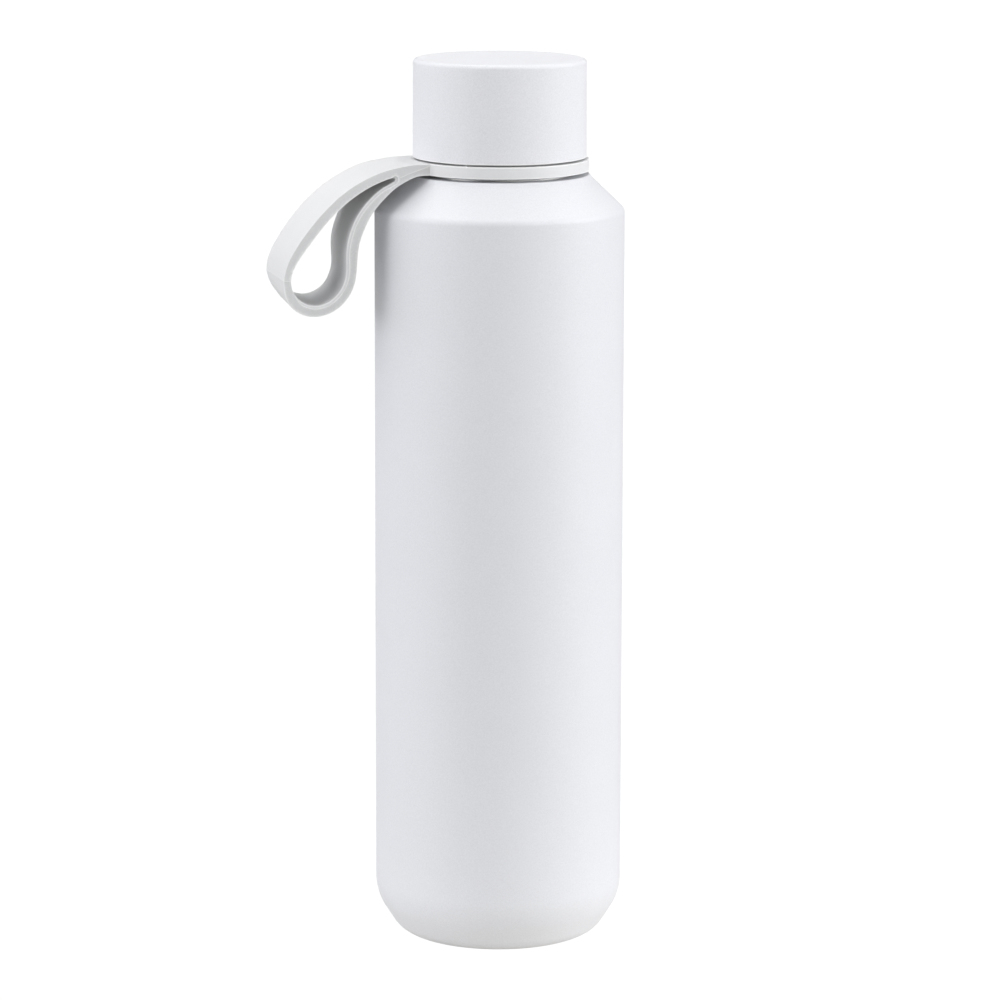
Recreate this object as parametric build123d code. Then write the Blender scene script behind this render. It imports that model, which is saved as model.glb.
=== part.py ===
from build123d import *
import math
import os

# ---------------------------------------------------------------------------
# Double-wall insulated water bottle, nominal 500 ml.
# Millimetres. +Z is up along the bottle's axis, z = 0 is the plane the bottle
# stands on, and the carrying loop hangs to -X in the XZ plane.
# ---------------------------------------------------------------------------

# ---- body, outside ----
R_BODY = 34.0            # barrel radius
Z_CHAMFER = 10.9         # sharp corner between base chamfer and barrel
R_BASE_EDGE = 27.0       # sharp corner between base plane and chamfer
FIL_BASE = 7.5           # rounding into the base plane
FIL_CHAMFER = 15.0       # rounding into the barrel
Z_SHOULDER = 201.72      # sharp corner between barrel and shoulder cone
FIL_SHOULDER = 2.3
R_SHOULDER_MID = 25.2    # the cone steepens here, just under the collar ledge
Z_SHOULDER_MID = 210.10
FIL_SHOULDER_MID = 4.0
R_SHOULDER_TOP = 24.30   # sharp corner between cone and collar ledge
Z_LEDGE = 211.22
FIL_LEDGE = 0.22
T_SHELL = 0.5            # sheet thickness of both shells
R_FOOT_IN = 20.6         # inner edge of the ring that the bottle stands on

# ---- base ----
Z_BASE_DISH = 2.0        # depth of the pressed dish
R_DIMPLE = 5.0
Z_DIMPLE = 3.4
R_EVAC = 1.0             # evacuation hole
R_BASE_COVER = 19.4
T_BASE_COVER = 0.5

# ---- inner flask ----
R_FLASK = 30.2
Z_FLASK_JOINT = 14.0
Z_FLASK_BOTTOM = 8.0
Z_FLASK_SHOULDER = 200.09
R_FLASK_NECK = 17.8
Z_FLASK_NECK = 211.9
Z_RIM = 235.0            # top of the drinking rim
R_RIM_OUT = 19.3

# ---- neck and thread ----
R_SEAT = 20.5            # plain part of the neck, where the collar turns
Z_SEAT_TOP = 217.2
R_THREAD_ROOT = 19.4
T_NECK = 0.8
R_THREAD_CREST = 20.5
THREAD_LEAD = 15.0
THREAD_STARTS = 3
NECK_THREAD_Z0 = 222.0
NECK_THREAD_RISE = 6.0
LINER_ROOT = 20.9
LINER_CREST = 19.85
LINER_THREAD_Z0 = 222.0
LINER_THREAD_A0 = 60.0
LINER_THREAD_RISE = 5.0

# ---- cap ----
R_CAP_BOTTOM = 23.6
R_CAP_TOP = 23.53
Z_CAP_BOTTOM = 215.9
Z_CAP_TOP = 242.5
FIL_CAP = 1.3
R_LINER = 22.95
Z_LINER_BOTTOM = 216.4
Z_LINER_TOP = 238.4
Z_GASKET_SEAT = 236.95
R_PLUG = 16.6
Z_PLUG = 222.5
T_PLUG = 1.4
R_FOAM = 22.8
Z_FOAM_TOP = 240.6
R_FOAM_COVER = 22.2
Z_FOAM_COVER_TOP = 241.9

# ---- gasket ----
R_GASKET_IN, R_GASKET_OUT = 17.75, 20.35
Z_GASKET_0, Z_GASKET_1 = 235.05, 236.9

# ---- silicone collar and loop ----
R_COLLAR_OUT = 24.3
R_COLLAR_IN = 20.8
Z_COLLAR_0, Z_COLLAR_1 = 212.25, 215.41
R_COLLAR_FOOT = 21.6
Z_COLLAR_FOOT = 211.65
FIL_COLLAR_0, FIL_COLLAR_1 = 0.07, 0.16
LOOP_WIDTH = 24.4
HINGE_A, HINGE_Z = 26.6, 213.4     # flex line at the root of the loop
KNUCKLE_R = 1.4
STUB_END = 24.42

# Side outlines of the collar tongue and loop, as (distance from the axis, z).
# The band hangs with a slight twist, so its two edges have an outline each:
# NEAR is the edge at -Y and FAR the one at +Y.
LOOP_NEAR = [
    (21.94, 215.35), (26.40, 215.25), (30.79, 214.61), (35.06, 213.51), (39.05, 211.82), (42.80, 209.76),
    (46.31, 207.24), (49.61, 204.22), (52.74, 200.86), (55.64, 197.29), (58.08, 193.82), (59.98, 190.50),
    (61.20, 187.30), (61.69, 184.10), (61.22, 181.00), (60.01, 178.41), (57.97, 176.54), (55.47, 175.39),
    (52.79, 175.08), (49.92, 175.59), (47.09, 177.00), (44.69, 179.21), (42.97, 181.94), (42.00, 185.08),
    (41.58, 189.09), (41.11, 193.50), (40.07, 197.01), (38.57, 200.39), (36.52, 203.66), (33.81, 206.68),
    (30.79, 209.35), (27.77, 211.04), (24.87, 212.06), (21.72, 212.25),
]
LOOP_FAR = [
    (21.95, 215.35), (26.36, 215.09), (30.76, 214.55), (35.12, 213.74), (39.22, 212.23), (43.07, 210.23),
    (46.76, 207.80), (50.24, 204.91), (53.49, 201.56), (56.38, 197.90), (58.82, 194.31), (60.78, 190.87),
    (62.07, 187.48), (62.27, 184.09), (61.04, 181.11), (59.43, 178.80), (57.73, 176.81), (55.12, 175.48),
    (52.35, 175.12), (49.53, 175.69), (46.76, 177.14), (44.35, 179.32), (42.61, 181.97), (41.61, 185.08),
    (41.13, 189.09), (40.94, 193.52), (40.32, 197.11), (38.84, 200.51), (36.68, 203.77), (33.95, 206.82),
    (30.91, 209.50), (27.92, 211.36), (24.93, 212.31), (21.72, 212.25),
]
HOLE_NEAR = [
    (32.44, 211.80), (35.54, 210.70), (38.76, 209.16), (42.00, 207.15), (45.16, 204.77), (48.02, 202.10),
    (50.59, 199.25), (53.04, 196.25), (55.46, 193.06), (57.64, 189.93), (59.04, 187.13), (59.51, 184.80),
    (59.24, 182.75), (58.25, 180.81), (56.78, 179.32), (54.96, 178.35), (52.78, 177.99), (50.43, 178.43),
    (48.26, 179.63), (46.49, 181.43), (45.19, 183.73), (44.53, 186.25), (44.46, 189.59), (44.34, 192.98),
    (43.70, 196.30), (42.52, 199.68), (40.89, 202.67), (38.99, 205.18), (36.91, 207.33), (34.57, 209.17),
    (32.35, 210.33), (31.80, 210.61), (31.36, 210.84), (31.10, 211.12), (31.00, 211.45), (31.08, 211.75),
    (31.36, 211.92), (31.88, 211.92),
]
HOLE_FAR = [
    (32.60, 212.35), (35.98, 211.79), (39.34, 210.25), (42.71, 208.23), (46.05, 205.87), (49.12, 203.26),
    (51.84, 200.41), (54.18, 197.21), (56.37, 193.69), (58.39, 190.32), (59.80, 187.33), (60.19, 184.83),
    (59.52, 182.71), (58.11, 180.88), (56.62, 179.45), (54.64, 178.56), (52.34, 178.13), (50.07, 178.53),
    (47.93, 179.62), (46.18, 181.39), (44.97, 183.79), (44.40, 186.29), (44.45, 189.60), (44.49, 193.01),
    (43.89, 196.35), (42.72, 199.77), (41.25, 202.92), (39.36, 205.50), (36.87, 207.35), (34.51, 209.14),
    (32.35, 210.36), (31.83, 210.71), (31.42, 211.03), (31.19, 211.42), (31.13, 211.88), (31.24, 212.31),
    (31.54, 212.54), (32.06, 212.54),
]


# ---------------------------------------------------------------------------
# Profile helpers: chains of (r, z, corner radius)
# ---------------------------------------------------------------------------
def chain(*pts):
    return [(p[0], p[1], p[2] if len(p) > 2 else 0.0) for p in pts]


def offset_chain(pts, t):
    """Offset a chain by t to its left, keeping its corners concentric."""
    lines = []
    for (x0, y0, _), (x1, y1, _) in zip(pts, pts[1:]):
        length = math.hypot(x1 - x0, y1 - y0)
        dx, dy = (x1 - x0) / length, (y1 - y0) / length
        lines.append((x0 - dy * t, y0 + dx * t, dx, dy))
    x, y, dx, dy = lines[0]
    out = [(x, y, 0.0)]
    for i in range(1, len(lines)):
        ax, ay, adx, ady = lines[i - 1]
        bx, by, bdx, bdy = lines[i]
        turn = adx * bdy - ady * bdx
        s = ((bx - ax) * bdy - (by - ay) * bdx) / turn
        rad = pts[i][2]
        if rad:
            rad = max(rad - t if turn > 0 else rad + t, 0.05)
        out.append((ax + adx * s, ay + ady * s, rad))
    (x0, y0, _), (x1, y1, _) = pts[-2], pts[-1]
    length = math.hypot(x1 - x0, y1 - y0)
    dx, dy = (x1 - x0) / length, (y1 - y0) / length
    out.append((x1 - dy * t, y1 + dx * t, 0.0))
    return out


def chain_edges(pts):
    """Lines and tangent arcs along a chain, as edges in the XZ plane."""
    def v(x, y):
        return Vector(x, 0, y)
    edges = []
    cur = pts[0][:2]
    for i in range(1, len(pts) - 1):
        px, py, rad = pts[i]
        ax, ay = pts[i - 1][0] - px, pts[i - 1][1] - py
        bx, by = pts[i + 1][0] - px, pts[i + 1][1] - py
        la, lb = math.hypot(ax, ay), math.hypot(bx, by)
        ax, ay, bx, by = ax / la, ay / la, bx / lb, by / lb
        if rad <= 0:
            edges.append(Edge.make_line(v(*cur), v(px, py)))
            cur = (px, py)
            continue
        half = math.acos(max(-1.0, min(1.0, ax * bx + ay * by))) / 2
        d = rad / math.tan(half)
        p0 = (px + ax * d, py + ay * d)
        p1 = (px + bx * d, py + by * d)
        cx, cy = ax + bx, ay + by
        lc = math.hypot(cx, cy)
        k = rad / math.sin(half) - rad
        pm = (px + cx / lc * k, py + cy / lc * k)
        edges.append(Edge.make_line(v(*cur), v(*p0)))
        edges.append(Edge.make_three_point_arc(v(*p0), v(*pm), v(*p1)))
        cur = p1
    edges.append(Edge.make_line(v(*cur), v(*pts[-1][:2])))
    return edges


def revolve_closed(pts):
    """Solid of revolution about Z of a closed chain."""
    loop = list(pts) + [pts[0]]
    return revolve(Face(Wire(chain_edges(loop))), axis=Axis.Z)


def revolve_sheet(pts, t):
    """Sheet-metal solid: a chain thickened by t to its left, revolved about Z."""
    inner = offset_chain(pts, t)
    a = chain_edges(pts)
    b = chain_edges(inner)
    ends = [
        Edge.make_line(Vector(pts[0][0], 0, pts[0][1]), Vector(inner[0][0], 0, inner[0][1])),
        Edge.make_line(Vector(pts[-1][0], 0, pts[-1][1]), Vector(inner[-1][0], 0, inner[-1][1])),
    ]
    return revolve(Face(Wire(a + b + ends)), axis=Axis.Z)


def ring(r0, r1, z0, z1):
    return Pos(0, 0, z0) * extrude(Circle(r1) - Circle(r0), z1 - z0)


def thread_ridge(root, crest, z0, rise, base_w, crest_w, sink):
    """One trapezoid thread ridge on a right-hand helix that starts at angle 0."""
    helix = Helix(pitch=THREAD_LEAD, height=rise, radius=root)
    helix = Pos(0, 0, z0) * helix
    sign = 1 if crest > root else -1
    r_in = root - sign * sink
    grow = (base_w - crest_w) / 2 / abs(crest - root) * sink
    pts = [
        (r_in, 0, z0 - base_w / 2 - grow), (root, 0, z0 - base_w / 2),
        (crest, 0, z0 - crest_w / 2), (crest, 0, z0 + crest_w / 2),
        (root, 0, z0 + base_w / 2), (r_in, 0, z0 + base_w / 2 + grow)]
    if sign > 0:
        pts.reverse()
    section = Polyline(*pts, close=True)
    return sweep(Face(Wire(section.edges())), path=helix, is_frenet=True)


def threads(root, crest, z0, rise, a0, base_w, crest_w, sink=0.12):
    one = thread_ridge(root, crest, z0, rise, base_w, crest_w, sink)
    return [Rot(0, 0, a0 + 360.0 / THREAD_STARTS * k) * one for k in range(THREAD_STARTS)]


# ---------------------------------------------------------------------------
# Vacuum body
# ---------------------------------------------------------------------------
outer_chain = chain(
    (R_FOOT_IN, 0),
    (R_BASE_EDGE, 0, FIL_BASE),
    (R_BODY, Z_CHAMFER, FIL_CHAMFER),
    (R_BODY, Z_SHOULDER, FIL_SHOULDER),
    (R_SHOULDER_MID, Z_SHOULDER_MID, FIL_SHOULDER_MID),
    (R_SHOULDER_TOP, Z_LEDGE, FIL_LEDGE),
    (R_SEAT, Z_LEDGE),
)
outer_shell = revolve_sheet(outer_chain, T_SHELL)

# Pressed dish welded into the foot ring, with a dimple for the seal.
outer_base = revolve_sheet(chain(
    (R_FOOT_IN - T_SHELL, 0),
    (R_FOOT_IN - T_SHELL, Z_BASE_DISH, 0.4),
    (R_DIMPLE, Z_BASE_DISH, 0.5),
    (R_DIMPLE - 0.8, Z_DIMPLE, 0.5),
    (R_EVAC, Z_DIMPLE),
), -T_SHELL)

# Braze bead that closes the evacuation hole, in the dimple.
vacuum_seal = revolve_closed(chain(
    (0, Z_DIMPLE - 0.9), (1.4, Z_DIMPLE - 0.9, 0.5), (2.6, Z_DIMPLE - 0.2, 0.2), (2.6, Z_DIMPLE),
    (R_EVAC, Z_DIMPLE), (R_EVAC, Z_DIMPLE + T_SHELL), (0, Z_DIMPLE + T_SHELL)))

# Thin disc bonded into the dish, over the seal.
base_cover = revolve_closed(chain(
    (0, Z_BASE_DISH - T_BASE_COVER),
    (R_BASE_COVER, Z_BASE_DISH - T_BASE_COVER, 0.2),
    (R_BASE_COVER, Z_BASE_DISH), (0, Z_BASE_DISH)))

inner_flask = revolve_sheet(chain(
    (R_FLASK, Z_FLASK_JOINT),
    (R_FLASK, Z_FLASK_SHOULDER, 6.0),
    (R_FLASK_NECK, Z_FLASK_NECK, 5.0),
    (R_FLASK_NECK, Z_RIM - T_SHELL, 0.3),
    (R_RIM_OUT, Z_RIM - T_SHELL),
), T_SHELL)

inner_base = revolve_sheet(chain(
    (R_FLASK, Z_FLASK_JOINT),
    (R_FLASK, Z_FLASK_BOTTOM, 5.5),
    (20.0, Z_FLASK_BOTTOM, 3.0),
    (16.5, Z_FLASK_BOTTOM + 1.2, 3.0),
    (0, Z_FLASK_BOTTOM + 1.2),
), -T_SHELL)

# Radiation shield wrapped round the flask inside the vacuum.
copper_foil = ring(R_FLASK + 0.05, R_FLASK + 0.17, 18.0, 196.0)

# Getter pill, held under the flask by a spot-welded strap.
GETTER_Z0 = Z_FLASK_BOTTOM + 1.2 - 2.6
getter = Pos(8.5, 0, GETTER_Z0) * extrude(Circle(3.6), 2.2)
clip_plate = Pos(8.5, 0, GETTER_Z0 - 0.2) * Box(12.0, 5.0, 0.4)
clip_leg = Pos(8.5 - 5.8, 0, GETTER_Z0 + 1.3) * Box(0.4, 5.0, 2.6)
clip_leg2 = Pos(8.5 + 5.8, 0, GETTER_Z0 + 1.3) * Box(0.4, 5.0, 2.6)
getter_clip = clip_plate + clip_leg + clip_leg2

# Neck tube: plain seat for the collar, then the threaded part.
neck_tube = revolve_sheet(chain(
    (R_SEAT, Z_LEDGE - T_SHELL),
    (R_SEAT, Z_SEAT_TOP, 0.5),
    (R_THREAD_ROOT, Z_SEAT_TOP + 1.1, 0.5),
    (R_THREAD_ROOT, Z_RIM - T_SHELL),
), T_NECK)
threaded_neck = neck_tube
for ridge in threads(R_THREAD_ROOT, R_THREAD_CREST, NECK_THREAD_Z0, NECK_THREAD_RISE, 0.0, 1.9, 0.9):
    threaded_neck = threaded_neck + ridge

# ---------------------------------------------------------------------------
# Seal
# ---------------------------------------------------------------------------
mouth_gasket = revolve_closed(chain(
    (R_GASKET_IN, Z_GASKET_0, 0.4), (R_GASKET_OUT, Z_GASKET_0, 0.4),
    (R_GASKET_OUT, Z_GASKET_1, 0.2), (R_GASKET_IN, Z_GASKET_1)))

# ---------------------------------------------------------------------------
# Cap
# ---------------------------------------------------------------------------
cap_chain = chain(
    (R_CAP_BOTTOM, Z_CAP_BOTTOM),
    (R_CAP_TOP, Z_CAP_TOP, FIL_CAP),
    (0, Z_CAP_TOP),
)
cap_shell = revolve_sheet(cap_chain, T_SHELL)

liner_body = revolve_closed(chain(
    (LINER_ROOT + 0.7, Z_LINER_BOTTOM), (R_LINER, Z_LINER_BOTTOM),
    (R_LINER, Z_LINER_TOP), (R_PLUG, Z_LINER_TOP),
    (R_PLUG, Z_GASKET_SEAT - 1.2), (R_GASKET_IN - 0.15, Z_GASKET_SEAT - 1.2),
    (R_GASKET_IN - 0.15, Z_GASKET_SEAT), (R_GASKET_OUT + 0.15, Z_GASKET_SEAT),
    (R_GASKET_OUT + 0.15, Z_GASKET_SEAT - 1.35), (LINER_ROOT, Z_GASKET_SEAT - 1.35),
    (LINER_ROOT, Z_LINER_BOTTOM + 0.7)))
cap_liner = liner_body
for ridge in threads(LINER_ROOT, LINER_CREST, LINER_THREAD_Z0, LINER_THREAD_RISE, LINER_THREAD_A0, 1.9, 0.9):
    cap_liner = cap_liner + ridge

stopper_plug = revolve_closed(chain(
    (0, Z_PLUG), (R_PLUG, Z_PLUG, 1.8), (R_PLUG, Z_LINER_TOP), (R_PLUG - T_PLUG, Z_LINER_TOP),
    (R_PLUG - T_PLUG, Z_PLUG + 1.5, 0.6), (0, Z_PLUG + 1.5)))

cap_insulation = revolve_closed(chain(
    (0, Z_PLUG + 1.5), (R_PLUG - T_PLUG, Z_PLUG + 1.5, 0.6), (R_PLUG - T_PLUG, Z_LINER_TOP),
    (R_FOAM, Z_LINER_TOP), (R_FOAM, Z_FOAM_TOP), (0, Z_FOAM_TOP)))

insulation_cover = revolve_closed(chain(
    (0, Z_FOAM_TOP), (R_FOAM_COVER, Z_FOAM_TOP), (R_FOAM_COVER, Z_FOAM_COVER_TOP, 0.3),
    (0, Z_FOAM_COVER_TOP)))

# ---------------------------------------------------------------------------
# Silicone collar and carrying loop (one moulding, flexing at the loop's root)
# ---------------------------------------------------------------------------
collar_ring = revolve_closed(chain(
    (R_COLLAR_IN, Z_COLLAR_FOOT), (R_COLLAR_FOOT, Z_COLLAR_FOOT, 0.2), (R_COLLAR_FOOT, Z_COLLAR_0),
    (R_COLLAR_OUT, Z_COLLAR_0, FIL_COLLAR_0), (R_COLLAR_OUT, Z_COLLAR_1, FIL_COLLAR_1),
    (R_COLLAR_IN, Z_COLLAR_1)))


def at_y(near, far, y):
    """Point of the twisted band's outline at depth y, between its two edges."""
    t = (y + LOOP_WIDTH / 2) / LOOP_WIDTH
    return Vector(-(near[0] + (far[0] - near[0]) * t), y, near[1] + (far[1] - near[1]) * t)


INNER_A = 15.0


def band_outline(y):
    first = at_y(LOOP_NEAR[0], LOOP_FAR[0], y)
    last = at_y(LOOP_NEAR[-1], LOOP_FAR[-1], y)
    curve = Edge.make_spline([at_y(n, f, y) for n, f in zip(LOOP_NEAR, LOOP_FAR)])
    top, bottom = Vector(-INNER_A, y, first.Z), Vector(-INNER_A, y, last.Z)
    return Wire([curve, Edge.make_line(last, bottom), Edge.make_line(bottom, top),
                 Edge.make_line(top, first)])


def slot_outline(y):
    curve = Edge.make_spline([at_y(n, f, y) for n, f in zip(HOLE_NEAR, HOLE_FAR)], periodic=True)
    return Wire([curve])


HALF = LOOP_WIDTH / 2
band = loft([Face(band_outline(-HALF)), Face(band_outline(HALF))], ruled=True) \
    - loft([Face(slot_outline(-HALF - 0.5)), Face(slot_outline(HALF + 0.5))], ruled=True)
BIG = 200.0
inside = Pos(-(STUB_END) + BIG / 2, 0, HINGE_Z) * Box(BIG, BIG, BIG)
outside = Pos(-(HINGE_A) - BIG / 2, 0, HINGE_Z) * Box(BIG, BIG, BIG)
bore = Pos(0, 0, Z_COLLAR_FOOT - 5) * extrude(Circle(R_COLLAR_IN), 20)
strap_collar = collar_ring + ((band & inside) - bore)
knuckle = Pos(-HINGE_A, 0, HINGE_Z) * Rot(90, 0, 0) * extrude(Circle(KNUCKLE_R), LOOP_WIDTH / 2, both=True)
strap_loop = (band & outside) + knuckle

# ---------------------------------------------------------------------------
# Write the sub-parts
# ---------------------------------------------------------------------------
NODES = {
    "outer_shell": outer_shell,
    "outer_base": outer_base,
    "vacuum_seal": vacuum_seal,
    "base_cover": base_cover,
    "inner_flask": inner_flask,
    "inner_base": inner_base,
    "copper_foil": copper_foil,
    "getter": getter,
    "getter_clip": getter_clip,
    "threaded_neck": threaded_neck,
    "mouth_gasket": mouth_gasket,
    "cap_shell": cap_shell,
    "cap_liner": cap_liner,
    "stopper_plug": stopper_plug,
    "cap_insulation": cap_insulation,
    "insulation_cover": insulation_cover,
    "strap_collar": strap_collar,
    "strap_loop": strap_loop,
}

os.makedirs("parts", exist_ok=True)
for name, shape in NODES.items():
    solids = shape.solids()
    body = solids[0] if len(solids) == 1 else Compound(children=list(solids))
    export_step(body, os.path.join("parts", name + ".step"))
    bb = body.bounding_box()
    print(f"{name:18s} solids {len(solids)} volume {body.volume:10.2f} "
          f"x {bb.min.X:7.2f}..{bb.max.X:7.2f} z {bb.min.Z:7.2f}..{bb.max.Z:7.2f} valid {body.is_valid}")
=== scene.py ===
import math

import bpy
import numpy as np
from mathutils import Matrix, Vector, geometry
from mathutils.kdtree import KDTree


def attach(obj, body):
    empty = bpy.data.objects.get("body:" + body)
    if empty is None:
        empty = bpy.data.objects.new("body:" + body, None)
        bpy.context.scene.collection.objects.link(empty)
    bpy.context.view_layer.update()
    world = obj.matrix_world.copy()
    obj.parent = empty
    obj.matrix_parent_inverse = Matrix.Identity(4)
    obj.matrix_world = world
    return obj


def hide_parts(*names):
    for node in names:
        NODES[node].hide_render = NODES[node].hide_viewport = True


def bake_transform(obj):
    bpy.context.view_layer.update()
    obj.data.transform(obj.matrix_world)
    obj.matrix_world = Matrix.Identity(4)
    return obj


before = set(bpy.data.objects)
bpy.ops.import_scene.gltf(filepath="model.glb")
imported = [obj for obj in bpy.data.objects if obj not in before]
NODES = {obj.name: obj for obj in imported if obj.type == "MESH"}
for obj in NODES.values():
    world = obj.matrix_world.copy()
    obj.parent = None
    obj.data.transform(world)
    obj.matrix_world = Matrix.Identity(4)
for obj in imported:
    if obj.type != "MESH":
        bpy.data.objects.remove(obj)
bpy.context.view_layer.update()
MM = 0.001


# ---------------------------------------------------------------------------
# Node helpers
# ---------------------------------------------------------------------------
def new_material(name):
    m = bpy.data.materials.new(name)
    m.use_nodes = True
    nt = m.node_tree
    nt.nodes.clear()
    out = nt.nodes.new("ShaderNodeOutputMaterial")
    out.location = (600, 0)
    b = nt.nodes.new("ShaderNodeBsdfPrincipled")
    b.location = (300, 0)
    nt.links.new(b.outputs["BSDF"], out.inputs["Surface"])
    return m, nt, b


def object_coords(nt):
    tc = nt.nodes.new("ShaderNodeTexCoord")
    return tc.outputs["Object"]


def noise(nt, vector, scale, detail=2.0, rough=0.5):
    n = nt.nodes.new("ShaderNodeTexNoise")
    n.inputs["Scale"].default_value = scale
    n.inputs["Detail"].default_value = detail
    n.inputs["Roughness"].default_value = rough
    nt.links.new(vector, n.inputs["Vector"])
    return n.outputs["Fac"]


def ramp(nt, fac, p0, c0, p1, c1):
    r = nt.nodes.new("ShaderNodeValToRGB")
    r.color_ramp.elements[0].position = p0
    r.color_ramp.elements[0].color = (*c0, 1.0)
    r.color_ramp.elements[1].position = p1
    r.color_ramp.elements[1].color = (*c1, 1.0)
    nt.links.new(fac, r.inputs["Fac"])
    return r.outputs["Color"]


def remap(nt, fac, lo, hi, from_lo=0.3, from_hi=0.7):
    r = nt.nodes.new("ShaderNodeMapRange")
    r.inputs["From Min"].default_value = from_lo
    r.inputs["From Max"].default_value = from_hi
    r.inputs["To Min"].default_value = lo
    r.inputs["To Max"].default_value = hi
    nt.links.new(fac, r.inputs["Value"])
    return r.outputs["Result"]


def bump(nt, height, strength, distance, normal=None):
    b = nt.nodes.new("ShaderNodeBump")
    b.inputs["Strength"].default_value = strength
    b.inputs["Distance"].default_value = distance
    nt.links.new(height, b.inputs["Height"])
    if normal is not None:
        nt.links.new(normal, b.inputs["Normal"])
    return b.outputs["Normal"]


def shade(nt, color, fac, lo, hi):
    """Multiply a colour by a fine-grained factor between lo and hi."""
    k = remap(nt, fac, lo, hi)
    mul = nt.nodes.new("ShaderNodeVectorMath")
    mul.operation = "SCALE"
    nt.links.new(color, mul.inputs[0])
    nt.links.new(k, mul.inputs["Scale"])
    return mul.outputs[0]


def painted_highlight(nt, color, amount):
    """Painted highlight: the colour is mixed towards white along the moulded or broken edges, by the vertex attribute
    read here.
    """
    at = nt.nodes.new("ShaderNodeAttribute")
    at.attribute_name = "painted_highlight"
    k = nt.nodes.new("ShaderNodeMath")
    k.operation = "MULTIPLY"
    k.use_clamp = True
    k.inputs[1].default_value = amount
    nt.links.new(at.outputs["Fac"], k.inputs[0])
    mix = nt.nodes.new("ShaderNodeMixRGB")
    mix.inputs["Color2"].default_value = (0.99, 0.99, 0.99, 1)
    nt.links.new(k.outputs[0], mix.inputs["Fac"])
    nt.links.new(color, mix.inputs["Color1"])
    return mix.outputs["Color"]


def mark_edges(o, weight, name="painted_highlight"):
    """Write an edge attribute from a function of a vertex's place, in mm."""
    at = o.data.attributes.new(name, "FLOAT", "POINT")
    for v, d in zip(o.data.vertices, at.data):
        d.value = float(weight(v.co.x / MM, v.co.y / MM, v.co.z / MM))


def powder_coat(name, tint, spread, gloss, fleck):
    """Fine matte powder coat: orange-peel bump in two sizes, faint mottling; painted shade round a rounding and painted
    highlights on marked edges.
    """
    m, nt, b = new_material(name)
    co = object_coords(nt)
    patches = noise(nt, co, 45.0, 3.0, 0.55)
    lo = tuple(c - spread for c in tint)
    hi = tuple(c + spread for c in tint)
    speck = noise(nt, co, 2500.0, 1.0, 0.5)
    paint = shade(nt, ramp(nt, patches, 0.35, lo, 0.65, hi), speck, 1 - fleck, 1 + fleck)
    painted_shade_attr = nt.nodes.new("ShaderNodeAttribute")
    painted_shade_attr.attribute_name = "painted_shade"     # painted shade: from 0.3, plain coat, to 0.7, a shade darker
    paint = shade(nt, paint, painted_shade_attr.outputs["Fac"], 1.0, 0.94)
    # painted highlight: paler colour mixed in along marked edges
    nt.links.new(painted_highlight(nt, paint, 1.0), b.inputs["Base Color"])
    peel = noise(nt, co, 900.0, 2.0, 0.5)
    grain = noise(nt, co, 2600.0, 1.0, 0.5)
    nt.links.new(remap(nt, grain, 0.46, 0.54), b.inputs["Roughness"])
    n1 = bump(nt, peel, 0.45, 0.00003)
    n2 = bump(nt, grain, 0.60, 0.000014, n1)
    nt.links.new(n2, b.inputs["Normal"])
    b.inputs["Specular IOR Level"].default_value = gloss
    return m


def silicone(name, tint, spread, rough=(0.52, 0.62)):
    """Matte moulded silicone rubber: fine satin tooth, slight cloudiness; painted highlights and painted light on
    marked places.
    """
    m, nt, b = new_material(name)
    co = object_coords(nt)
    cloud = noise(nt, co, 90.0, 3.0, 0.6)
    lo = tuple(c - spread for c in tint)
    hi = tuple(c + spread for c in tint)
    speck = noise(nt, co, 1900.0, 1.0, 0.5)
    rubber = shade(nt, ramp(nt, cloud, 0.35, lo, 0.65, hi), speck, 0.985, 1.015)
    # painted highlight along marked edges, and painted light on the band's and collar's outer faces
    nt.links.new(painted_highlight(nt, rubber, 1.0), b.inputs["Base Color"])
    tooth = noise(nt, co, 2600.0, 2.0, 0.6)
    nt.links.new(remap(nt, tooth, rough[0], rough[1]), b.inputs["Roughness"])
    nt.links.new(bump(nt, tooth, 0.25, 0.000012), b.inputs["Normal"])
    b.inputs["Specular IOR Level"].default_value = 0.65
    b.inputs["Subsurface Weight"].default_value = 0.12
    b.inputs["Subsurface Radius"].default_value = (0.0012, 0.0012, 0.0012)
    b.inputs["Subsurface Scale"].default_value = 1.0
    b.inputs["Sheen Weight"].default_value = 0.22
    b.inputs["Sheen Roughness"].default_value = 0.4
    return m


def steel(name, tint, rough, turned=True):
    """Bare stainless steel; turned steel carries fine marks round the axis."""
    m, nt, b = new_material(name)
    co = object_coords(nt)
    if turned:
        mp = nt.nodes.new("ShaderNodeMapping")
        mp.inputs["Scale"].default_value = (0.35, 0.35, 60.0)
        nt.links.new(co, mp.inputs["Vector"])
        marks = noise(nt, mp.outputs["Vector"], 110.0, 4.0, 0.6)
    else:
        marks = noise(nt, co, 1500.0, 3.0, 0.6)
    stain = noise(nt, co, 30.0, 3.0, 0.6)
    lo = tuple(c * 0.96 for c in tint)
    hi = tuple(min(1.0, c * 1.04) for c in tint)
    nt.links.new(ramp(nt, stain, 0.3, lo, 0.7, hi), b.inputs["Base Color"])
    nt.links.new(remap(nt, marks, rough - 0.05, rough + 0.07), b.inputs["Roughness"])
    nt.links.new(bump(nt, marks, 0.25, 0.00001), b.inputs["Normal"])
    b.inputs["Metallic"].default_value = 1.0
    return m


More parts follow.
